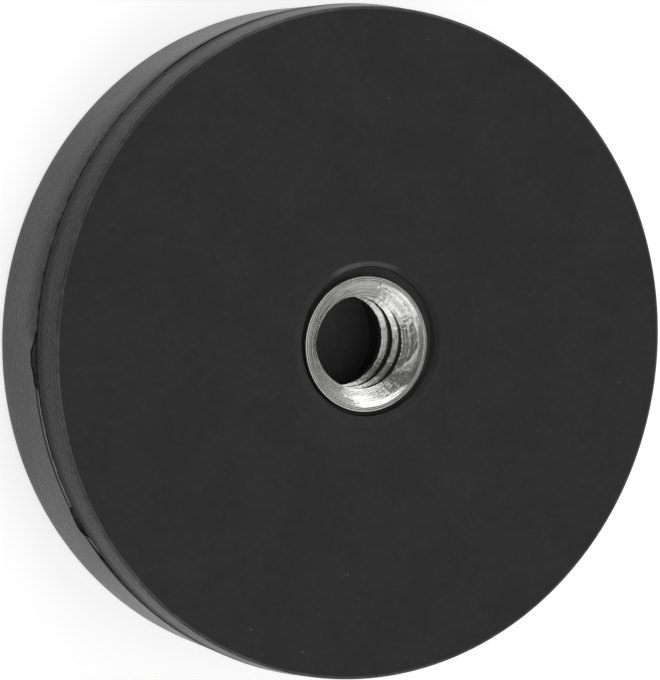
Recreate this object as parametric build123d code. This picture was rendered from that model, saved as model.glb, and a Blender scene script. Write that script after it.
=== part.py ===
from build123d import *
import os
from math import pi, radians, sin, tan

# Rubber-covered pot magnet with a threaded bush.
# It lies on its magnetic face at z = 0. The screw enters from the threaded face, along -Z.
# All sizes are in millimetres and all angles in degrees.

# Layers from the magnetic face up
skin_h = 0.6          # rubber that covers the magnets
magnet_h = 3.0
plate_h = 2.0
cover_h = 2.2         # rubber between the plate and the threaded face

# Rubber jacket, moulded in two mould halves that part level with the plate's upper side
jacket_d = 36.04      # over the lip of the parting groove, before the lip is rounded
front_draft = 5.0     # slope of the wall between the lip and the threaded face
back_draft = 2.0      # slope of the wall between the groove and the magnetic face
front_edge_r = 0.15
back_edge = 0.3       # bevel round the magnetic face
groove_w = 0.55       # mouth of the parting groove
groove_depth = 0.47
band_step = 0.07      # how far the back wall stands in behind the lip
lip_r = 0.9           # soft rounding of the lip
mouth_gap = 0.4       # open ring between the bush and the rubber
mouth_depth = 0.9
mouth_edge = 0.2
pocket_depth = 2.2    # blind pocket in the rubber below the bush
pocket_ledge = 0.3    # how much narrower than the bush the pocket is

# Chips torn out of the back wall's upper edge where the mould halves met
chip_angles = (190.5, 219.5)
chip_length = 1.9
chip_height = 0.4

# Steel plate that closes the magnets' field
plate_cover = 2.02    # rubber between the plate's rim and the lip

# Magnets in a ring below the plate, as large as find room there: 9 mm
magnet_count = 6
magnet_inset = 1.0    # how far the magnets stay inside the plate's rim
magnet_gap = 1.5      # rubber between neighbours

# Turned bush, riveted into the plate, with a 1/4 inch thread of 20 turns to the inch
inch = 25.4
thread_major_d = inch / 4
thread_pitch = inch / 20
thread_depth = 1.0825  # of a 60 degree thread, on both sides together, in pitches
bush_wall = 0.425      # metal outside the thread's major diameter
bush_recess = 0.25     # how far the bush stays below the threaded face
bush_land = 0.3        # flat ring outside the countersink
flange_d = 10.0
flange_h = 0.8
rivet_h = 0.5          # the bush's lower end is spread into the plate's countersink

# Places that follow from the sizes above
plate_z = skin_h + magnet_h
parting_z = plate_z + plate_h
face_z = parting_z + cover_h
bush_z = face_z - bush_recess
bush_r = thread_major_d / 2 + bush_wall
bore_r = (thread_major_d - thread_depth * thread_pitch) / 2
groove_r = jacket_d / 2 - groove_depth
band_z = parting_z - groove_w
plate_r = jacket_d / 2 - plate_cover
half_pitch = sin(pi / magnet_count)
magnet_r = ((plate_r - magnet_inset) * half_pitch - magnet_gap / 2) / (1 + half_pitch)
magnet_ring_r = plate_r - magnet_inset - magnet_r


def turned(corners):
    """A solid of revolution about Z. Each corner of its outline is a radius, a height and a rounding."""
    with BuildPart() as part:
        with BuildSketch(Plane.XZ):
            with BuildLine():
                FilletPolyline(*[(r, z) for r, z, _ in corners], radius=[edge for _, _, edge in corners], close=True)
            make_face()
        revolve(axis=Axis.Z)
    return part.part


def upright(radius, height, z):
    """A cylinder about Z that stands on the height z."""
    return Pos(0, 0, z) * Cylinder(radius, height, align=(Align.CENTER, Align.CENTER, Align.MIN))


def jacket_outline():
    """The moulded disc with its drafted walls, its parting groove and the bevelled mouth round the bush."""
    lip = jacket_d / 2
    band = lip - band_step
    back = band - band_z * tan(radians(back_draft))
    mouth = bush_r + mouth_gap
    return turned([
        (0, 0, 0),
        (back - back_edge, 0, 0),
        (back, back_edge, 0),
        (band, band_z, 0),
        (groove_r, band_z, 0),
        (lip, parting_z, lip_r),
        (lip - cover_h * tan(radians(front_draft)), face_z, front_edge_r),
        (mouth + mouth_edge, face_z, 0),
        (mouth, face_z - mouth_edge, 0),
        (mouth, face_z - mouth_depth, 0),
        (0, face_z - mouth_depth, 0),
    ])


def chips():
    """Round bites out of the back wall's upper edge, as deep as the parting groove."""
    bite_r = (chip_length ** 2 / 4 + chip_height ** 2) / (2 * chip_height)
    centre_z = band_z - chip_height + bite_r
    bites = []
    for angle in chip_angles:
        radial = Rot(0, 0, angle) * Pos(groove_r, 0, centre_z) * Rot(0, 90, 0)
        bites.append(radial * Cylinder(bite_r, jacket_d / 2, align=(Align.CENTER, Align.CENTER, Align.MIN)))
    room = upright(jacket_d, chip_height, band_z - chip_height)
    return Part() + bites & (room - upright(groove_r, chip_height, band_z - chip_height))


def bush_blank():
    """The bush before it is bored: its neck, a flange in the rubber and a shank riveted into the plate."""
    return turned([
        (0, plate_z, 0),
        (bush_r + rivet_h, plate_z, 0),
        (bush_r, plate_z + rivet_h, 0),
        (bush_r, parting_z, 0),
        (flange_d / 2, parting_z, 0),
        (flange_d / 2, parting_z + flange_h, 0),
        (bush_r, parting_z + flange_h, 0),
        (bush_r, bush_z, 0),
        (0, bush_z, 0),
    ])


def bush_bore():
    """The through bore at the thread's minor diameter, with the countersink at its mouth."""
    sink_r = bush_r - bush_land
    return turned([
        (0, plate_z, 0),
        (bore_r, plate_z, 0),
        (bore_r, bush_z - (sink_r - bore_r), 0),
        (sink_r, bush_z, 0),
        (0, bush_z, 0),
    ])


def make_plate(blank):
    """A stamped steel disc, with the countersunk hole that the bush fills."""
    return upright(plate_r, plate_h, plate_z) - blank


def make_magnets():
    """The ring of disc magnets, which touch the plate's lower side."""
    disc = upright(magnet_r, magnet_h, skin_h)
    return [place * disc for place in PolarLocations(magnet_ring_r, magnet_count)]


def make_jacket(blank, plate, magnets):
    """The rubber that is moulded round the plate, the magnets and the bush."""
    pocket = upright(bush_r - pocket_ledge, pocket_depth, plate_z - pocket_depth)
    return jacket_outline() - chips() - pocket - blank - plate - magnets


blank = bush_blank()
plate = make_plate(blank)
magnets = make_magnets()
nodes = {
    "rubber_jacket": make_jacket(blank, plate, magnets),
    "steel_plate": plate,
    "threaded_bush": blank - bush_bore(),
}
for number, magnet in enumerate(magnets, start=1):
    nodes[f"magnet_{number}"] = magnet

os.makedirs("parts", exist_ok=True)
for name, shape in nodes.items():
    export_step(shape, f"parts/{name}.step")
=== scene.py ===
from math import atan2, cos, pi, radians, sin, tan

import bmesh
import bpy
import numpy as np
from mathutils import Matrix, Vector, noise


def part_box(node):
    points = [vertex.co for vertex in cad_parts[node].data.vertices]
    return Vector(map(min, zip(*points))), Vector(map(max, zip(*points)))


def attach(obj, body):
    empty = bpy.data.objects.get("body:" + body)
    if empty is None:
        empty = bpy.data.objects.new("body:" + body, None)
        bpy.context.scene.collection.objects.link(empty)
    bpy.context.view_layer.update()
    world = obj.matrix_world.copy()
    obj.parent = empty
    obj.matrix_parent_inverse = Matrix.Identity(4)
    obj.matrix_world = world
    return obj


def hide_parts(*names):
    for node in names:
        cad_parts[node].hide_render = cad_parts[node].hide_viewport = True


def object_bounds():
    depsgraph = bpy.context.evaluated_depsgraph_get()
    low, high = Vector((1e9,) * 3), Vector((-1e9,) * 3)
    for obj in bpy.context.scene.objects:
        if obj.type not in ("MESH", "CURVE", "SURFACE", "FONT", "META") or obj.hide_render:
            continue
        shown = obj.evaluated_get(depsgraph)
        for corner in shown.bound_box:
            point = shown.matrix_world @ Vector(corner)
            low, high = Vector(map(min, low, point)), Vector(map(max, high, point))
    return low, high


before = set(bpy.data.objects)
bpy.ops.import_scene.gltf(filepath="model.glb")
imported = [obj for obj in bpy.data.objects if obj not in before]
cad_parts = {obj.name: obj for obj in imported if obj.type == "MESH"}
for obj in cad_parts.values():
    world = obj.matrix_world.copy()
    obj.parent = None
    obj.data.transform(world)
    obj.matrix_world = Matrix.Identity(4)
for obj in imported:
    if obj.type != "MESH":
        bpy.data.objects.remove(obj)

# A rubber-covered pot magnet that lies on its magnetic face, seen from above its threaded face.
# Lengths are in metres, written as millimetres times mm. Angles are in degrees about +Z, from +X.
mm = 0.001
cad_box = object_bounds()

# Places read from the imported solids
jacket_low, jacket_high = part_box("rubber_jacket")
plate_low, plate_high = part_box("steel_plate")
bush_low, bush_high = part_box("threaded_bush")
magnet_low, magnet_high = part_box("magnet_1")
face_z = jacket_high.z
parting_z = plate_high.z
plate_z = plate_low.z
plate_r = plate_high.x
bush_z = bush_high.z
flange_r = bush_high.x
skin_z = magnet_low.z
magnet_r = (magnet_high.x - magnet_low.x) / 2
magnet_ring_r = (magnet_high.x + magnet_low.x) / 2
magnet_count = sum(name.startswith("magnet_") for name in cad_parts)

# Jacket, with the same section as its solid
lip_r = 18.02 * mm          # corner of the lip, before its rounding
lip_edge = 0.9 * mm
front_draft = 5.0
back_draft = 2.0
front_edge = 0.15 * mm
back_edge = 0.35 * mm
band_r = lip_r - 0.07 * mm
groove_r = lip_r - 0.47 * mm
groove_w = 0.55 * mm
band_z = parting_z - groove_w
mouth_r = 4.0 * mm
mouth_depth = 0.9 * mm
mouth_edge = 0.28 * mm
mouth_lean = Vector((0.13 * mm, 0.16 * mm))   # the mouth is moulded a little out of true
pocket_r = 3.3 * mm
pocket_depth = 2.2 * mm

# Bush, with a 1/4 inch thread of 20 turns to the inch
inch = 25.4 * mm
thread_r = inch / 8
pitch = inch / 20
bore_r = thread_r - 0.54125 * pitch
bush_r = 3.6 * mm
flange_z = parting_z + 0.8 * mm
rivet = 0.5 * mm
sink_r = 3.36 * mm          # mouth of the countersink
sink_slope = 1.43           # how fast its radius falls with depth
ring_step = 0.08 * mm       # depth between the rings that the tool left in the countersink
ring_depth = 0.06 * mm
crest_burr = 0.05 * mm      # how far the thread's crest is rolled into the bore
crest_z = bush_z - 0.702 * mm   # height of the thread's crest at the angle 0


# Node trees

class Number:
    """A socket of a node tree that adds and multiplies like a plain number."""

    def __init__(self, tree, socket):
        self.tree = tree
        self.socket = socket

    def math(self, operation, *others):
        node = self.tree.nodes.new("ShaderNodeMath")
        node.operation = operation
        for place, value in zip(node.inputs, (self, *others)):
            connect(self.tree, value, place)
        return Number(self.tree, node.outputs[0])

    def __add__(self, other):
        return self.math("ADD", other)

    def __sub__(self, other):
        return self.math("SUBTRACT", other)

    def __mul__(self, other):
        return self.math("MULTIPLY", other)

    def __truediv__(self, other):
        return self.math("DIVIDE", other)

    def __neg__(self):
        return self.math("MULTIPLY", -1.0)

    def least(self, other):
        return self.math("MINIMUM", other)

    def most(self, other):
        return self.math("MAXIMUM", other)

    def size(self):
        return self.math("ABSOLUTE")

    def share(self):
        return self.math("FRACT")

    def sine(self):
        return self.math("SINE")

    def cosine(self):
        return self.math("COSINE")

    def above(self, other):
        return self.math("GREATER_THAN", other)

    def within(self, low, high):
        """0 at low, 1 at high and a straight rise between them."""
        return ((self - low) / (high - low)).most(0.0).least(1.0)

    def peak(self, width):
        """1 at 0, with a straight fall to 0 at the width on both sides."""
        return (-(self.size() / width) + 1.0).most(0.0)


def connect(tree, value, socket):
    """Feeds a socket from another one, or gives it a plain value."""
    if isinstance(value, Number):
        tree.links.new(value.socket, socket)
    elif isinstance(value, bpy.types.NodeSocket):
        tree.links.new(value, socket)
    else:
        socket.default_value = value


def add_node(tree, kind, inputs=None, **settings):
    """Adds a node with its settings, and connects its inputs by name or number."""
    node = tree.nodes.new(kind)
    for name, value in settings.items():
        setattr(node, name, value)
    for name, value in (inputs or {}).items():
        connect(tree, value, node.inputs[name])
    return node


def new_group(kind, name, inputs, outputs):
    """An empty node group with named sockets. Returns the tree, its input node and its output node."""
    tree = bpy.data.node_groups.new(name, kind)
    for title, socket_kind, default in inputs:
        socket = tree.interface.new_socket(title, in_out="INPUT", socket_type=socket_kind)
        if default is not None:
            socket.default_value = default
    for title, socket_kind in outputs:
        tree.interface.new_socket(title, in_out="OUTPUT", socket_type=socket_kind)
    return tree, tree.nodes.new("NodeGroupInput"), tree.nodes.new("NodeGroupOutput")


def noise_value(tree, coordinates, scale, detail=3.0, roughness=0.55):
    """Soft noise from 0 to 1 at a scale in spots per metre."""
    node = add_node(tree, "ShaderNodeTexNoise", {
        "Vector": coordinates,
        "Scale": scale,
        "Detail": detail,
        "Roughness": roughness,
    })
    return Number(tree, node.outputs["Fac"])


def mix_inputs(node):
    """The colour sockets of a Mix node, which share their names with its other kinds."""
    return node.inputs[6], node.inputs[7], node.outputs[2]


def blend_colour(tree, share, first, second):
    """A colour that goes from the first to the second as the share goes from 0 to 1."""
    node = add_node(tree, "ShaderNodeMix", data_type="RGBA")
    connect(tree, share, node.inputs[0])
    low, high, result = mix_inputs(node)
    connect(tree, first, low)
    connect(tree, second, high)
    return result


def grey(value):
    return (value, value, value, 1.0)


def grey_colour(tree, value):
    """A grey whose brightness is a socket's value."""
    node = add_node(tree, "ShaderNodeCombineColor", {"Red": value, "Green": value, "Blue": value})
    return node.outputs[0]


def coordinates(tree, place):
    """The x, y and z of a place, and its distance from the Z axis."""
    parts = add_node(tree, "ShaderNodeSeparateXYZ", {"Vector": place})
    x, y, z = (Number(tree, parts.outputs[axis]) for axis in "XYZ")
    return x, y, z, (x * x + y * y).math("SQRT")


# Shared surface effects

def grain_group():
    """Fine grain, soft blotches and a few pits of a moulded or cast surface."""
    tree, given, result = new_group("ShaderNodeTree", "Surface grain", [
        ("Coordinates", "NodeSocketVector", None),
        ("Grain per metre", "NodeSocketFloat", 9000.0),
        ("Blotches per metre", "NodeSocketFloat", 400.0),
    ], [("Height", "NodeSocketFloat"), ("Blotches", "NodeSocketFloat")])
    place = given.outputs["Coordinates"]
    fine = noise_value(tree, place, given.outputs["Grain per metre"], 4.0, 0.6)
    blotches = noise_value(tree, place, given.outputs["Blotches per metre"], 5.0, 0.6)
    cells = add_node(tree, "ShaderNodeTexVoronoi", {
        "Vector": place,
        "Scale": Number(tree, given.outputs["Blotches per metre"]) * 2.2,
    })
    spots = Number(tree, cells.outputs["Distance"]).within(0.12, 0.05)
    lucky = Number(tree, cells.outputs["Color"]).above(0.72)
    connect(tree, fine - spots * lucky * 0.8, result.inputs["Height"])
    connect(tree, blotches, result.inputs["Blotches"])
    return tree


def turning_group():
    """Fine rings that a lathe tool leaves round the Z axis, with chatter along them."""
    tree, given, result = new_group("ShaderNodeTree", "Turning marks", [
        ("Coordinates", "NodeSocketVector", None),
        ("Rings per metre", "NodeSocketFloat", 12000.0),
    ], [("Height", "NodeSocketFloat"), ("Streaks", "NodeSocketFloat")])
    x, y, z, radius = coordinates(tree, given.outputs["Coordinates"])
    drawn_out = add_node(tree, "ShaderNodeCombineXYZ", {
        "X": radius + z,
        "Y": y.math("ARCTAN2", x) * 0.00025,
        "Z": z * 0.5,
    }).outputs[0]
    density = Number(tree, given.outputs["Rings per metre"])
    rings = noise_value(tree, drawn_out, density, 3.0, 0.7)
    wide = noise_value(tree, drawn_out, density * 0.22, 2.0, 0.5)
    connect(tree, rings, result.inputs["Height"])
    connect(tree, wide, result.inputs["Streaks"])
    return tree


def dust_group():
    """A few pale specks of dust that lie here and there."""
    tree, given, result = new_group("ShaderNodeTree", "Dust specks", [
        ("Coordinates", "NodeSocketVector", None),
        ("Specks per metre", "NodeSocketFloat", 1000.0),
        ("Share", "NodeSocketFloat", 0.1),
    ], [("Specks", "NodeSocketFloat")])
    cells = add_node(tree, "ShaderNodeTexVoronoi", {
        "Vector": given.outputs["Coordinates"],
        "Scale": given.outputs["Specks per metre"],
    })
    near = Number(tree, cells.outputs["Distance"]).within(0.10, 0.04)
    chosen = (-Number(tree, cells.outputs["Color"]) + 1.0).math("LESS_THAN", given.outputs["Share"])
    connect(tree, near * chosen, result.inputs["Specks"])
    return tree


grain = grain_group()
turning = turning_group()
dust = dust_group()


def new_material(name):
    """A material with its tree, its Principled shader and its Object coordinates."""
    material = bpy.data.materials.new(name)
    material.use_nodes = True
    tree = material.node_tree
    shader = tree.nodes["Principled BSDF"]
    place = tree.nodes.new("ShaderNodeTexCoord").outputs["Object"]
    return material, tree, shader, place


def place_group(tree, group, inputs):
    """Puts a shared effect into a material, with values of its own."""
    node = add_node(tree, "ShaderNodeGroup", node_tree=group)
    for name, value in inputs.items():
        connect(tree, value, node.inputs[name])
    return node


def add_bump(tree, shader, height, depth, below=None):
    """Bump of a real depth in metres, over an earlier bump where one is given."""
    node = add_node(tree, "ShaderNodeBump", {"Height": height, "Distance": depth, "Strength": 1.0})
    if below is not None:
        connect(tree, below, node.inputs["Normal"])
    connect(tree, node.outputs["Normal"], shader.inputs["Normal"])
    return node.outputs["Normal"]


# Materials

rubber_base = 0.033         # brightness of the face
wall_base = 0.007           # of the wall above the groove
band_base = 0.018           # of the wall below the groove
rubber_rough = 0.55
rubber_shine = 0.14         # specular level
speck_grey = 0.09           # dust
flash_highlight_grey = 0.32           # painted highlight along the flash in the groove
mouth_highlight_arc = (-0.208, 0.978)  # direction of the brightest stretch of the painted highlight on the mouth's edge
rim_highlight_r = 17.68 * mm     # painted highlight, a pale line where the face meets the wall


def rubber_material():
    """Black moulded rubber: a matt face, satin walls, a dull seam with painted shade above it, painted
    highlights on the edges of the mouth and the face, painted fill light in the hollows and a little
    dust.
    """
    material, tree, shader, place = new_material("moulded black rubber")
    x, y, z, radius = coordinates(tree, place)

    # Grain, and the uneven film of dust that clings most to the walls
    surface = place_group(tree, grain, {
        "Coordinates": place,
        "Grain per metre": 5200.0,
        "Blotches per metre": 260.0,
    })
    blotches = Number(tree, surface.outputs["Blotches"])
    specks = place_group(tree, dust, {"Coordinates": place, "Specks per metre": 1150.0, "Share": 0.1})
    smear = noise_value(tree, place, 2100.0, 4.0, 0.65)

    # Shares of the walls above and below the groove. Just above the lip the wall has painted shade, a
    # darker colour, and is also duller
    wall = radius.within(lip_r - 0.5 * mm, lip_r - 0.28 * mm)
    wall = wall * z.within(face_z, face_z - 0.12 * mm)
    band = wall * z.within(band_z + 0.1 * mm, band_z - 0.05 * mm)
    front = wall - band
    # lit is 1 on the unshaded wall and falls to 0.3 at the lip: painted shade under the lip's rounding
    lit = z.within(parting_z - 0.1 * mm, parting_z + 0.95 * mm) * 0.7 + 0.3
    lit = lit.most(band).most(-wall + 1.0)
    dusty = smear.within(0.38, 0.72) * (band * 0.6 + front * 0.35 + 0.12)
    dusty = (dusty + blotches.within(0.4, 0.8) * 0.2).least(1.0)

    # Painted highlights on the edges of the mouth and the face
    # A painted highlight along the mouth's rounded edge, brightest towards one side
    mouth = radius.within(mouth_r + 0.45 * mm, mouth_r + 0.33 * mm)
    mouth = mouth * radius.within(mouth_r - 0.05 * mm, mouth_r + 0.1 * mm)
    mouth = mouth * z.above(face_z - 0.35 * mm)
    towards_arc = (x * mouth_highlight_arc[0] + y * mouth_highlight_arc[1]) / radius
    mouth = mouth * (towards_arc.within(0.86, 0.95) * 0.9 + 0.1)
    # A painted highlight on the rounding where the face meets the wall, made uneven by the blotches and
    # the smear
    rim = radius.within(rim_highlight_r - 0.02 * mm, rim_highlight_r + 0.02 * mm)
    rim = rim * z.within(face_z - 0.22 * mm, face_z - 0.17 * mm)
    rim = rim * (blotches.within(0.4, 0.6) * 0.4 + smear.within(0.3, 0.6) * 0.2 + 0.4)

    # Painted fill light that lightens the shaded bottom of the groove, the open ring and the blind pocket
    groove_fill_light = radius.within(lip_r - 0.13 * mm, lip_r - 0.2 * mm) * radius.above(flange_r)
    groove_fill_light = groove_fill_light * z.within(parting_z, parting_z - 0.05 * mm) * z.above(band_z - 0.5 * mm)
    groove_fill_light = groove_fill_light * (smear.within(0.35, 0.7) * 0.06 + 0.03)
    ring_fill_light = radius.within(mouth_r + 0.4 * mm, mouth_r + 0.3 * mm) * z.above(flange_z)
    ring_fill_light = ring_fill_light * z.within(face_z - 0.12 * mm, face_z - 0.25 * mm)
    # pocket is painted fill light on the shaded walls of the blind pocket
    pocket = radius.within(pocket_r + 0.1 * mm, pocket_r + 0.05 * mm)
    pocket = pocket * z.within(plate_z + 0.1 * mm, plate_z)

    # Colour
    clean = wall * (wall_base - rubber_base) + band * (band_base - wall_base) + rubber_base
    clean = clean * lit
    # Painted shade above the lip, painted highlights on the mouth and the rim, and painted fill light in
    # the pocket, the groove and the ring
    clean = clean + mouth * 0.065 + rim * 0.07 + pocket * 0.1 + groove_fill_light + ring_fill_light * 0.05
    colour = blend_colour(tree, dusty, grey_colour(tree, clean * 0.8), grey_colour(tree, clean * 1.9))
    colour = blend_colour(tree, Number(tree, specks.outputs["Specks"]), colour, grey(speck_grey))
    # The flash is painted a pale grey, a painted highlight along it
    flash = Number(tree, add_node(tree, "ShaderNodeAttribute", attribute_name="flash").outputs["Fac"])
    colour = blend_colour(tree, flash, colour, grey(flash_highlight_grey))
    connect(tree, colour, shader.inputs["Base Color"])

    # Shine and bump
    rough = blotches.within(0.3, 0.7) * 0.08 + smear * 0.06 + (rubber_rough - 0.07)
    rough = rough + (-lit + 1.0) * 0.4 - wall * lit * 0.25
    connect(tree, rough, shader.inputs["Roughness"])
    shader.inputs["Specular IOR Level"].default_value = rubber_shine
    height = Number(tree, surface.outputs["Height"]) * (wall * 0.35 + 0.25)
    low = add_bump(tree, shader, smear * (wall * 0.3 + 0.1), 0.06 * mm)
    add_bump(tree, shader, height, 0.05 * mm, low)
    return material


def plated_material(name, tint, ring_density, rough, mark_depth, root_shade_r=None):
    """Bright plated metal with turning marks, faint stains and pits. Outside the given radius, deep in
    the bore, it is painted dark: painted shade in the thread's roots.
    """
    material, tree, shader, place = new_material(name)
    marks = place_group(tree, turning, {"Coordinates": place, "Rings per metre": ring_density})
    surface = place_group(tree, grain, {
        "Coordinates": place,
        "Grain per metre": 9000.0,
        "Blotches per metre": 1300.0,
    })
    blotches = Number(tree, surface.outputs["Blotches"])
    streaks = Number(tree, marks.outputs["Streaks"])
    stain = (blotches.within(0.45, 0.8) * 0.4 + streaks.within(0.35, 0.7) * 0.7).least(1.0)
    dark = tuple(0.62 * channel for channel in tint[:3]) + (1.0,)
    colour = blend_colour(tree, stain, tint, dark)
    if root_shade_r is not None:
        x, y, z, radius = coordinates(tree, place)
        # Painted shade in the thread's roots, deep in the bore
        root = radius.within(root_shade_r, root_shade_r + 0.05 * mm)
        root = root * z.within(bush_z - 1.05 * mm, bush_z - 1.2 * mm)
        colour = blend_colour(tree, root * 0.93, colour, grey(0.02))
    connect(tree, colour, shader.inputs["Base Color"])
    shader.inputs["Metallic"].default_value = 1.0
    roughness = blotches.within(0.3, 0.8) * 0.14 + streaks * 0.1 + (rough - 0.1)
    connect(tree, roughness, shader.inputs["Roughness"])
    rings = add_bump(tree, shader, marks.outputs["Height"], mark_depth)
    add_bump(tree, shader, surface.outputs["Height"], 0.004 * mm, rings)
    return material


rubber = rubber_material()
bush_metal = plated_material(
    "bright plated turned steel", (0.66, 0.66, 0.65, 1.0), 9000.0, 0.22, 0.015 * mm, bore_r + 0.2 * mm
)
plate_metal = plated_material("plated stamped steel", (0.42, 0.43, 0.44, 1.0), 2500.0, 0.42, 0.004 * mm)
magnet_metal = plated_material("nickel plated magnet", (0.66, 0.65, 0.62, 1.0), 700.0, 0.3, 0.002 * mm)


# Mesh tools

def mesh_object(name, vertices, faces, links=()):
    """A mesh object at the origin, with its place in its mesh."""
    mesh = bpy.data.meshes.new(name)
    mesh.from_pydata(vertices, links, faces)
    mesh.validate()
    piece = bpy.data.objects.new(name, mesh)
    bpy.context.scene.collection.objects.link(piece)
    return piece


def smooth_faces(piece, sharp_angle):
    """Smooth shading that keeps edges sharp where two faces meet at more than the angle."""
    mesh = piece.data
    mesh.polygons.foreach_set("use_smooth", [True] * len(mesh.polygons))
    mesh.set_sharp_from_angle(angle=radians(sharp_angle))
    mesh.update()


def keep_result(piece):
    """Replaces a piece's mesh by what its modifiers make of it."""
    evaluated = piece.evaluated_get(bpy.context.evaluated_depsgraph_get())
    mesh = bpy.data.meshes.new_from_object(evaluated)
    piece.modifiers.clear()
    piece.data = mesh


def paint(piece, material):
    """Gives all of a piece one material."""
    piece.data.materials.clear()
    piece.data.materials.append(material)


def finish_piece(piece, material):
    """Gives a piece its material, and lets it ride on the body."""
    paint(piece, material)
    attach(piece, "root")


def rounded(before, corner, after, radius, steps):
    """Points of the arc that rounds a corner of an outline. All points are a radius and a height."""
    back = (Vector(before) - Vector(corner)).normalized()
    onward = (Vector(after) - Vector(corner)).normalized()
    half = back.angle(onward) / 2
    bisector = (back + onward).normalized()
    centre = Vector(corner) + bisector * (radius / sin(half))
    first = Vector(corner) + back * (radius / tan(half)) - centre
    last = Vector(corner) + onward * (radius / tan(half)) - centre
    start = atan2(first.y, first.x)
    turn = (atan2(last.y, last.x) - start + pi) % (2 * pi) - pi
    angles = [start + turn * step / steps for step in range(steps + 1)]
    return [(centre.x + radius * cos(angle), centre.y + radius * sin(angle)) for angle in angles]


# Rubber jacket

def curve_through(angles, points):
    """Heights along the rim between the given pairs of an angle and a height."""
    return np.interp(angles, [angle for angle, _ in points], [height * mm for _, height in points])


def ragged(angles, spots, seed):
    """Noise from -1 to 1 round the rim, with about so many spots to a radian."""
    return np.array([
        noise.noise(Vector((spots * cos(radians(a)), spots * sin(radians(a)), seed))) for a in angles
    ])


def rim_angles():
    """Angles of the jacket's columns, close together along the torn stretch of the seam."""
    torn_from, torn_to = 184.0, 250.0
    fine, coarse = 0.15, 0.5
    torn = np.arange(torn_from, torn_to, fine)
    count = int((360.0 - torn_to + torn_from) / coarse)
    rest = np.linspace(torn_to, torn_from + 360.0, count, endpoint=False)
    return np.sort(np.concatenate([torn, rest]) % 360.0)


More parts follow.
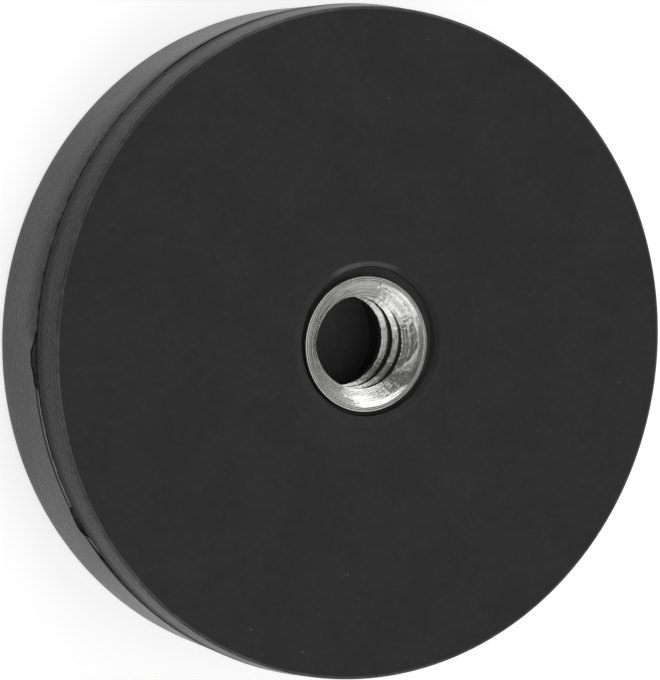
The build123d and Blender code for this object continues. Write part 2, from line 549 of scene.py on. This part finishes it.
def jacket_rings(angles):
    """The jacket's outline as rings, each with a radius, a height and a share of the flash's painted
    highlight at every angle.
    """
    same = np.ones(len(angles))
    rings = []

    def add(radius, height, share=0.0):
        rings.append((radius * same, height * same, share * same))

    # Chips torn out of the band's upper edge, and stretches where the seam is nearly closed
    chips = curve_through(angles, [
        (0, 0), (187.8, 0), (189.3, 0.42), (190.6, 0.47), (191.9, 0.44), (192.7, 0.27), (194.6, 0.17),
        (196.0, 0), (216.5, 0), (217.1, 0.16), (218.9, 0.30), (220.7, 0.42), (221.6, 0.3), (222.4, 0),
        (360, 0),
    ])
    closing = curve_through(angles, [
        (0, 0), (222, 0), (226, 0.25), (229, 0.42), (231.5, 0.47), (232.3, 0.54), (233.4, 0.54),
        (233.8, 0.44), (234.2, 0.54), (235.2, 0.54), (235.6, 0.46), (236, 0.54), (242, 0.54),
        (243.3, 0.49), (247.5, 0.5), (250, 0.54), (262, 0.54), (275, 0.5), (290, 0.25), (300, 0),
        (360, 0),
    ])
    wave = ragged(angles, 9.0, 1.5) * 0.03 * mm + ragged(angles, 60.0, 4.5) * 0.035 * mm
    edge = band_z - chips + closing + wave * (1 - closing / (groove_w + 0.01 * mm))
    flash = curve_through(angles, [
        (0, 0), (195.2, 0), (196.4, 0.16), (203, 0.22), (210, 0.22), (216.2, 0.24), (216.6, 0),
        (222.2, 0), (222.8, 0.2), (226.4, 0.18), (227.2, 0), (360, 0),
    ])
    flash = flash * (1 + 0.35 * ragged(angles, 90.0, 7.5))
    front_r = lip_r - (face_z - parting_z) * tan(radians(front_draft))
    inner = (groove_r, band_z)
    lip = [inner] + rounded(inner, (lip_r, parting_z), (front_r, face_z), lip_edge, 9)
    lip_heights = [height for _, height in lip]
    root_z = np.maximum(edge, band_z)

    # How far the band's wall curls inward below its upper edge, and over what height
    roll = curve_through(angles, [
        (0, 0.02), (100, 0.03), (130, 0.07), (145, 0.16), (186, 0.16), (188, 0.015), (250, 0.015),
        (300, 0.03), (360, 0.02),
    ])
    drop = curve_through(angles, [
        (0, 0.06), (100, 0.1), (130, 0.7), (145, 1.6), (186, 1.6), (188, 0.06), (250, 0.06),
        (300, 0.1), (360, 0.06),
    ])

    def under_lip(height):
        return np.interp(height, lip_heights, [radius for radius, _ in lip])

    # Magnetic face and back wall
    back_r = band_r - band_z * tan(radians(back_draft))
    add(0, 0)
    for radius in (2.0, 6.0, 10.0, 14.0, 16.5):
        add(radius * mm, 0)
    for radius, height in rounded((0, 0), (back_r, 0), (band_r, band_z), back_edge, 6):
        add(radius, height)
    rise = (band_r - back_r) / band_z
    for share in (0.15, 0.3, 0.45, 0.6, 0.7, 0.78, 0.85, 0.91, 0.955, 0.985):
        height = back_edge + (edge - drop - back_edge) * share
        add(back_r + height * rise, height)
    for lean in (0, 12, 24, 36, 48, 60, 70, 80, 90):
        height = edge - drop * (1 - sin(radians(lean)))
        add(back_r + height * rise - roll * (1 - cos(radians(lean))), height)

    def floor_r(inward, from_lip):
        """Radius of the groove's floor, inward of the curled wall and never past the lip's underside."""
        below = np.minimum(band_r - inward * mm, band_r - roll - inward * 0.02 * mm)
        return np.maximum(below, under_lip(root_z) + from_lip * mm)

    # Floor of the groove, with the flash that stands in it behind a narrow crevice
    # pale is the share of the flash's painted highlight, carried to the material by the flash attribute
    pale = np.clip(flash / (0.1 * mm), 0, 1)
    crevice = np.where(flash > 0.01 * mm, 0.18 * mm, 0)
    add(floor_r(0.045, 0.01), edge - crevice)
    add(floor_r(0.06, 0.009), edge - crevice)
    add(floor_r(0.062, 0.0088), edge + 0.1 * flash, pale)
    add(floor_r(0.05, 0.0086), edge + 0.75 * flash, pale)
    add(floor_r(0.07, 0.0084), edge + flash, pale)
    add(floor_r(0.10, 0.008), edge + 0.9 * flash, pale)
    add(floor_r(0.13, 0.006), edge + 0.1 * flash)
    add(floor_r(0.14, 0.004), edge)
    add(under_lip(root_z) + 0.002 * mm, edge)

    # Lip, front wall, face
    for step, height in enumerate(lip_heights):
        height = np.maximum(height, root_z + (step + 1) * 0.002 * mm)
        add(under_lip(height), height)
    for share in (0.25, 0.5, 0.75):
        height = parting_z + (face_z - parting_z) * share
        add(lip_r - (height - parting_z) * tan(radians(front_draft)), height)
    for radius, height in rounded((lip_r, parting_z), (front_r, face_z), (0, face_z), front_edge, 7):
        add(radius, height)
    for radius in (17.3, 17.1, 16.0, 13.0, 10.0, 7.5, 5.8, 5.0, 4.6):
        add(radius * mm, face_z)

    # Mouth round the bush, a little out of true, and its ledge
    lean = mouth_lean.x * np.cos(np.radians(angles)) + mouth_lean.y * np.sin(np.radians(angles))
    lean = lean + ragged(angles, 5.0, 2.5) * 0.03 * mm
    for radius, height in rounded((6 * mm, face_z), (mouth_r, face_z), (mouth_r, 0), mouth_edge, 6):
        add(radius + lean, height)
    add(mouth_r + lean, face_z - mouth_depth * 0.7)
    add(mouth_r + lean, face_z - mouth_depth)

    # Cavities for the bush and the plate, and the blind pocket
    add(bush_r, face_z - mouth_depth)
    for radius, height in (
        (bush_r, flange_z),
        (flange_r, flange_z),
        (flange_r, parting_z),
        (plate_r, parting_z),
        (plate_r, plate_z),
        (bush_r + rivet, plate_z),
        (pocket_r, plate_z),
        (pocket_r, plate_z - pocket_depth),
        (0, plate_z - pocket_depth),
    ):
        add(radius, height)
    return rings


def magnet_cavities():
    """The room that the magnets fill, as one mesh that reaches up into the plate's room."""
    sides = 66
    vertices = []
    faces = []
    for number in range(magnet_count):
        middle = Matrix.Rotation(2 * pi * number / magnet_count, 4, "Z") @ Vector((magnet_ring_r, 0, 0))
        first = len(vertices)
        for height in (skin_z, plate_z + 1 * mm):
            for side in range(sides):
                angle = 2 * pi * side / sides
                x = middle.x + magnet_r * cos(angle)
                y = middle.y + magnet_r * sin(angle)
                vertices.append((x, y, height))
        low = list(range(first, first + sides))
        high = [corner + sides for corner in low]
        faces.append(low[::-1])
        faces.append(high)
        for side in range(sides):
            after = (side + 1) % sides
            faces.append((low[side], low[after], high[after], high[side]))
    return mesh_object("magnet_cavities", vertices, faces)


# Nicks and crumbs on the rim and the seam: the angle, radius, height, size and depth of each,
# in millimetres. A crumb's depth is negative.
rim_marks = [
    (178.3, 17.62, 7.76, 0.30, 0.09),
    (177.2, 17.60, 7.78, 0.16, -0.05),
    (198.1, 17.60, 7.78, 0.18, -0.06),
    (202.4, 17.62, 7.76, 0.22, 0.05),
    (204.3, 17.60, 7.77, 0.20, 0.05),
    (206.0, 17.62, 7.76, 0.22, 0.04),
    (214.6, 17.42, 7.80, 0.26, 0.06),
    (214.0, 17.60, 7.76, 0.16, -0.04),
    (226.6, 17.96, 5.45, 0.24, 0.12),
    (225.6, 17.98, 5.62, 0.16, -0.05),
    (221.5, 17.60, 7.76, 0.22, 0.05),
    (233.0, 17.93, 5.2, 0.18, -0.05),
]


def mark_surface(piece, marks):
    """Presses pits into a surface and raises crumbs on it."""
    mesh = piece.data
    count = len(mesh.vertices)
    places = np.empty(count * 3)
    normals = np.empty(count * 3)
    mesh.vertices.foreach_get("co", places)
    mesh.vertices.foreach_get("normal", normals)
    places = places.reshape(-1, 3)
    normals = normals.reshape(-1, 3)
    for angle, radius, height, size, depth in marks:
        turn = radians(angle)
        centre = np.array([radius * cos(turn), radius * sin(turn), height]) * mm
        near = np.linalg.norm(places - centre, axis=1) / (size * mm)
        fall = np.clip(1 - near ** 2, 0, 1) ** 2
        places -= normals * (fall * depth * mm)[:, None]
    np.clip(places, list(cad_box[0]), list(cad_box[1]), out=places)
    mesh.vertices.foreach_set("co", places.ravel())
    mesh.update()


def make_jacket():
    """The moulded jacket as one closed surface, its cavities included."""
    angles = rim_angles()
    rings = jacket_rings(angles)
    turn = np.radians(angles)
    columns = len(angles)
    vertices = [(0.0, 0.0, float(rings[0][1][0]))]
    flash = [0.0]
    for radius, height, share in rings[1:-1]:
        ring = np.stack([radius * np.cos(turn), radius * np.sin(turn), height], axis=1)
        vertices.extend(map(tuple, ring))
        flash.extend(share)
    vertices.append((0.0, 0.0, float(rings[-1][1][0])))
    flash.append(0.0)
    last = len(vertices) - 1
    faces = []
    for column in range(columns):
        after = (column + 1) % columns
        faces.append((0, 1 + after, 1 + column))
        for row in range(len(rings) - 3):
            low = 1 + row * columns
            high = low + columns
            faces.append((low + column, low + after, high + after, high + column))
        top = 1 + (len(rings) - 3) * columns
        faces.append((top + column, top + after, last))
    piece = mesh_object("moulded_rubber_jacket", vertices, faces)
    # The flash attribute holds the share of the painted highlight along the flash
    piece.data.attributes.new("flash", "FLOAT", "POINT").data.foreach_set("value", flash)
    mark_surface(piece, rim_marks)
    cutter = magnet_cavities()
    cut = piece.modifiers.new("magnet cavities", "BOOLEAN")
    cut.operation = "DIFFERENCE"
    cut.solver = "EXACT"
    cut.object = cutter
    keep_result(piece)
    bpy.data.objects.remove(cutter)
    smooth_faces(piece, 32)
    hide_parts("rubber_jacket")
    finish_piece(piece, rubber)


# Threaded bush

def tapped_bush_tree():
    """Turns the bush's outside from an outline, and taps its bore with a right-hand thread."""
    sizes = (
        "Bottom", "Top", "Foot radius", "Bore radius", "Thread radius", "Pitch", "Crest height",
        "Countersink radius", "Countersink slope", "Ring step", "Ring depth", "Burr", "Scratch depth",
        "Scratch fall", "Ridge width", "Ridge height", "Nick depth",
    )
    tree, given, result = new_group("GeometryNodeTree", "Tapped bush", [
        ("Outline", "NodeSocketGeometry", None),
        *[(name, "NodeSocketFloat", 0.0) for name in sizes],
        ("Columns", "NodeSocketInt", 360),
        ("Rows", "NodeSocketInt", 100),
        ("Rows to a pitch", "NodeSocketFloat", 48.0),
        ("Material", "NodeSocketMaterial", None),
    ], [("Bush", "NodeSocketGeometry")])

    def value(name):
        return Number(tree, given.outputs[name])

    def noise_along(position, scale):
        """Noise from 0 to 1 along a line."""
        node = add_node(tree, "ShaderNodeTexNoise", {
            "W": position,
            "Scale": scale,
            "Detail": 2.0,
        }, noise_dimensions="1D")
        return Number(tree, node.outputs[0])

    # A grid whose rows follow the thread: the row gives the height at the angle 0, the column the angle
    columns = value("Columns") + 1.0
    grid = add_node(tree, "GeometryNodeMeshGrid", {
        "Size X": 1.0,
        "Size Y": 1.0,
        "Vertices X": given.outputs["Rows"],
        "Vertices Y": columns,
    })
    position = add_node(tree, "GeometryNodeInputPosition").outputs[0]
    parts = add_node(tree, "ShaderNodeSeparateXYZ", {"Vector": position})
    row = ((Number(tree, parts.outputs["X"]) + 0.5) * (value("Rows") - 1.0)).math("ROUND")
    turn = Number(tree, parts.outputs["Y"]) + 0.5
    angle = turn * (2 * pi)
    climb = row / value("Rows to a pitch") + turn
    turns_below = ((value("Crest height") - value("Bottom")) / value("Pitch")).math("CEIL") + 1.0
    lowest = value("Crest height") - turns_below * value("Pitch")
    height = (lowest + climb * value("Pitch")).most(value("Bottom")).least(value("Top"))

    def around(reach, rise):
        """The point at this column's angle that is so far from the Z axis and so high."""
        return add_node(tree, "ShaderNodeCombineXYZ", {
            "X": reach * angle.cosine(),
            "Y": reach * angle.sine(),
            "Z": rise,
        }).outputs[0]

    # Distance from the middle of a crest, in pitches, gives the thread's 60 degree section
    from_crest = ((height - value("Crest height")) / value("Pitch") - turn + 0.5).share() - 0.5
    depth = from_crest.size().within(1 / 8, 7 / 16)
    threaded = value("Bore radius") + depth * (value("Thread radius") - value("Bore radius"))

    # The countersink, with the rings of the tool. Its mouth itself stays round
    down = value("Top") - height
    below_mouth = down.within(0.0, 0.03 * mm)
    ring = noise_along(down / value("Ring step") + angle.sine() * 0.3, 1.0) - 0.5
    ring = ring * value("Ring depth") * below_mouth
    countersunk = value("Countersink radius") - down * value("Countersink slope") + ring

    # A scratch that runs down from a nick, with its raised edge. Its places are shares of a turn
    scratched = turn.within(0.055, 0.075) * turn.within(0.238, 0.234)
    scratch_depth = value("Scratch depth") + (turn.above(0.5) - turn + 0.236) * value("Scratch fall")
    ridge = (down - scratch_depth).peak(value("Ridge width")) * scratched
    ridge = ridge * (noise_along(turn, 60.0).within(0.3, 0.6) * 0.6 + 0.4)
    countersunk = countersunk - ridge * value("Ridge height")
    nick = (turn - 0.2365).peak(0.003) * down.within(0.30 * mm, 0.10 * mm)
    countersunk = countersunk + nick * value("Nick depth") * below_mouth
    wall = threaded.most(countersunk)

    # The low burr where the thread starts, and the torn metal below the scratch
    thread_start = (threaded - countersunk).peak(0.035 * mm)
    thread_start = thread_start * (turn.within(0.87, 0.90) + turn.within(0.075, 0.06))
    wall = wall - thread_start * value("Ridge height") * 0.2
    torn = (down - scratch_depth).within(0.0, 0.03 * mm)
    torn = torn * (turn.within(0.25, 0.22) + turn.within(0.80, 0.86))
    on_bore = around(value("Bore radius"), height)
    edge_noise = add_node(tree, "ShaderNodeTexNoise", {"Vector": on_bore, "Scale": 5600.0, "Detail": 3.0})
    rough_edge = (Number(tree, edge_noise.outputs[0]) - 0.5) * value("Burr") * (torn * 0.9 + 0.5)
    inside = (height - value("Bottom")).above(0.01 * mm) * down.above(0.01 * mm)
    first_row = row.math("LESS_THAN", 0.5)
    radius = (wall + rough_edge * inside) * (-first_row + 1.0) + value("Foot radius") * first_row
    tapped = add_node(tree, "GeometryNodeSetPosition", {
        "Geometry": grid.outputs["Mesh"],
        "Position": around(radius, height),
    })

    # The outside: every point of the outline becomes a ring with the same columns
    corners = add_node(tree, "GeometryNodeAttributeDomainSize", {"Geometry": given.outputs["Outline"]})
    turned = add_node(tree, "GeometryNodeMeshGrid", {
        "Size X": 1.0,
        "Size Y": 1.0,
        "Vertices X": corners.outputs["Point Count"],
        "Vertices Y": columns,
    })
    last_corner = Number(tree, corners.outputs["Point Count"]) - 1.0
    corner = (Number(tree, parts.outputs["X"]) + 0.5) * last_corner
    sample = add_node(tree, "GeometryNodeSampleIndex", {
        "Geometry": given.outputs["Outline"],
        "Index": corner.math("ROUND"),
    }, data_type="FLOAT_VECTOR")
    connect(tree, position, sample.inputs["Value"])
    at = add_node(tree, "ShaderNodeSeparateXYZ", {"Vector": sample.outputs["Value"]})
    outside = add_node(tree, "GeometryNodeSetPosition", {
        "Geometry": turned.outputs["Mesh"],
        "Position": around(Number(tree, at.outputs["X"]), at.outputs["Z"]),
    })
    both = add_node(tree, "GeometryNodeJoinGeometry")
    connect(tree, tapped.outputs[0], both.inputs[0])
    connect(tree, outside.outputs[0], both.inputs[0])
    merged = add_node(tree, "GeometryNodeMergeByDistance", {
        "Geometry": both.outputs[0],
        "Distance": 0.0015 * mm,
    })
    real = add_node(tree, "GeometryNodeRealizeInstances", {"Geometry": merged.outputs[0]})
    painted = add_node(tree, "GeometryNodeSetMaterial", {
        "Geometry": real.outputs[0],
        "Material": given.outputs["Material"],
    })
    connect(tree, painted.outputs[0], result.inputs["Bush"])
    return tree


def run_tree(piece, tree, values):
    """Runs a node tree on a piece with the named values and keeps the result as a plain mesh."""
    modifier = piece.modifiers.new(tree.name, "NODES")
    modifier.node_group = tree
    for item in tree.interface.items_tree:
        if item.item_type == "SOCKET" and item.in_out == "INPUT" and item.name in values:
            modifier[item.identifier] = values[item.name]
    keep_result(piece)


def outward(piece):
    """Turns all faces of a closed piece outward."""
    work = bmesh.new()
    work.from_mesh(piece.data)
    bmesh.ops.recalc_face_normals(work, faces=work.faces)
    work.to_mesh(piece.data)
    work.free()


def bush_outline():
    """The bush's outside, from the countersink's mouth over the land and down to the riveted foot."""
    land = [
        (sink_r, bush_z),
        (sink_r + 0.02 * mm, bush_z),
        (sink_r + 0.04 * mm, bush_z - 0.05 * mm),
        (sink_r + 0.06 * mm, bush_z),
        (sink_r + 0.11 * mm, bush_z),
        (sink_r + 0.135 * mm, bush_z - 0.07 * mm),
        (sink_r + 0.16 * mm, bush_z),
    ]
    edge = rounded((sink_r, bush_z), (bush_r, bush_z), (bush_r, 0), 0.04 * mm, 3)
    below = [
        (bush_r, flange_z + 0.4 * mm),
        (bush_r, flange_z),
        (flange_r, flange_z),
        (flange_r, parting_z),
        (bush_r, parting_z),
        (bush_r, plate_z + rivet),
        (bush_r + rivet, plate_z),
    ]
    return land + edge + below


def make_bush():
    """The turned bush with its tapped bore."""
    corners = [(radius, 0, height) for radius, height in bush_outline()]
    links = [(corner, corner + 1) for corner in range(len(corners) - 1)]
    piece = mesh_object("tapped_steel_bush", corners, [], links)
    rows_to_a_pitch = 64
    turns = (bush_z - plate_z) / pitch + 4
    run_tree(piece, tapped_bush_tree(), {
        "Bottom": plate_z,
        "Top": bush_z,
        "Foot radius": bush_r + rivet,
        "Bore radius": bore_r - crest_burr,
        "Thread radius": thread_r,
        "Pitch": pitch,
        "Crest height": crest_z,
        "Countersink radius": sink_r,
        "Countersink slope": sink_slope,
        "Ring step": ring_step,
        "Ring depth": ring_depth,
        "Burr": 0.07 * mm,
        "Scratch depth": 0.084 * mm,
        "Scratch fall": 0.44 * mm,
        "Ridge width": 0.05 * mm,
        "Ridge height": 0.12 * mm,
        "Nick depth": 0.09 * mm,
        "Columns": 360,
        "Rows": int(turns * rows_to_a_pitch) + 1,
        "Rows to a pitch": float(rows_to_a_pitch),
        "Material": bush_metal,
    })
    outward(piece)
    smooth_faces(piece, 24)
    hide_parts("threaded_bush")
    finish_piece(piece, bush_metal)


make_jacket()
make_bush()
paint(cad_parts["steel_plate"], plate_metal)
for name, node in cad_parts.items():
    if name.startswith("magnet_"):
        paint(node, magnet_metal)


# Camera, from a pinhole fitted to the photo's outline, face rim and groove

view_lean = 27.22           # between the view and the face's normal
view_roll = 8.59
view_distance = 212.4 * mm  # from the middle of the face
photo_width, photo_height = 660, 680
face_middle_px = (368.9, 344.5)
focal_px = 4018.8


def add_camera():
    """A camera aimed at the middle of the face, shifted to put it where the photo has it."""
    lean = radians(view_lean)
    roll = radians(view_roll)
    right = Vector((cos(lean) * cos(roll), sin(roll), sin(lean) * cos(roll)))
    down = Vector((cos(lean) * sin(roll), -cos(roll), sin(lean) * sin(roll)))
    away = Vector((sin(lean), 0, -cos(lean)))
    data = bpy.data.cameras.new("camera")
    longest = max(photo_width, photo_height)
    data.lens = focal_px * data.sensor_width / longest
    data.shift_x = (photo_width / 2 - face_middle_px[0]) / longest
    data.shift_y = (face_middle_px[1] - photo_height / 2) / longest
    data.clip_start = 1 * mm
    data.clip_end = 10
    camera = bpy.data.objects.new("camera", data)
    turned = Matrix((right, -down, -away)).transposed().to_4x4()
    camera.matrix_world = Matrix.Translation(Vector((0, 0, face_z)) - away * view_distance) @ turned
    bpy.context.scene.collection.objects.link(camera)
    bpy.context.scene.camera = camera


# Stage

def camera_share(tree):
    """1 for the rays that show the background: seen, mirrored or refracted."""
    path = tree.nodes.new("ShaderNodeLightPath")
    seen = Number(tree, path.outputs["Is Camera Ray"]).most(Number(tree, path.outputs["Is Glossy Ray"]))
    return seen.most(Number(tree, path.outputs["Is Transmission Ray"]))


def add_floor():
    """A plain white floor that keeps the soft shadow."""
    half = 0.6
    corners = [(-half, -half, 0), (half, -half, 0), (half, half, 0), (-half, half, 0)]
    floor = mesh_object("floor", corners, [(0, 1, 2, 3)])
    material, tree, shader, place = new_material("white paper")
    speckle = noise_value(tree, place, 300.0)
    connect(tree, blend_colour(tree, speckle, grey(0.66), grey(0.69)), shader.inputs["Base Color"])
    shader.inputs["Roughness"].default_value = 0.9
    shader.inputs["Specular IOR Level"].default_value = 0.1
    shader.inputs["Emission Color"].default_value = grey(1.0)
    connect(tree, camera_share(tree) * 0.64, shader.inputs["Emission Strength"])
    floor.data.materials.append(material)
    floor.location.z = -0.01 * mm


def add_softbox(name, place, size, power):
    """A soft square lamp that points at the magnet."""
    data = bpy.data.lights.new(name, "AREA")
    data.shape = "RECTANGLE"
    data.size, data.size_y = size
    data.energy = power
    lamp = bpy.data.objects.new(name, data)
    place = Vector(place)
    lamp.matrix_world = Matrix.Translation(place) @ place.to_track_quat("Z", "Y").to_matrix().to_4x4()
    bpy.context.scene.collection.objects.link(lamp)


def add_world():
    """A pale room, bright on the +X side near the horizon and darkest high up on the other side."""
    world = bpy.data.worlds.new("pale room")
    bpy.context.scene.world = world
    world.use_nodes = True
    tree = world.node_tree
    background = tree.nodes["Background"]
    direction = tree.nodes.new("ShaderNodeTexCoord").outputs["Generated"]
    parts = add_node(tree, "ShaderNodeSeparateXYZ", {"Vector": direction})
    side = Number(tree, parts.outputs["X"])
    up = Number(tree, parts.outputs["Z"])
    shaded = (-side).within(0.15, 0.4) * up.within(0.3, 0.6)
    horizon = blend_colour(tree, side.within(-0.1, 0.6), grey(0.26), grey(0.95))
    room = blend_colour(tree, up.within(0.05, 0.6), horizon, grey(0.22))
    connect(tree, blend_colour(tree, shaded, room, grey(0.09)), background.inputs["Color"])


add_camera()
add_floor()
add_world()
add_softbox("ceiling_softbox", (0.05, -0.20, 0.50), (0.80, 0.80), 1.4)
add_softbox("top_softbox", (-0.01, 0.42, 0.22), (0.50, 0.26), 1.0)
add_softbox("low_softbox", (-0.10, -0.42, 0.24), (0.40, 0.30), 0.36)
bpy.context.scene.view_settings.view_transform = "Standard"
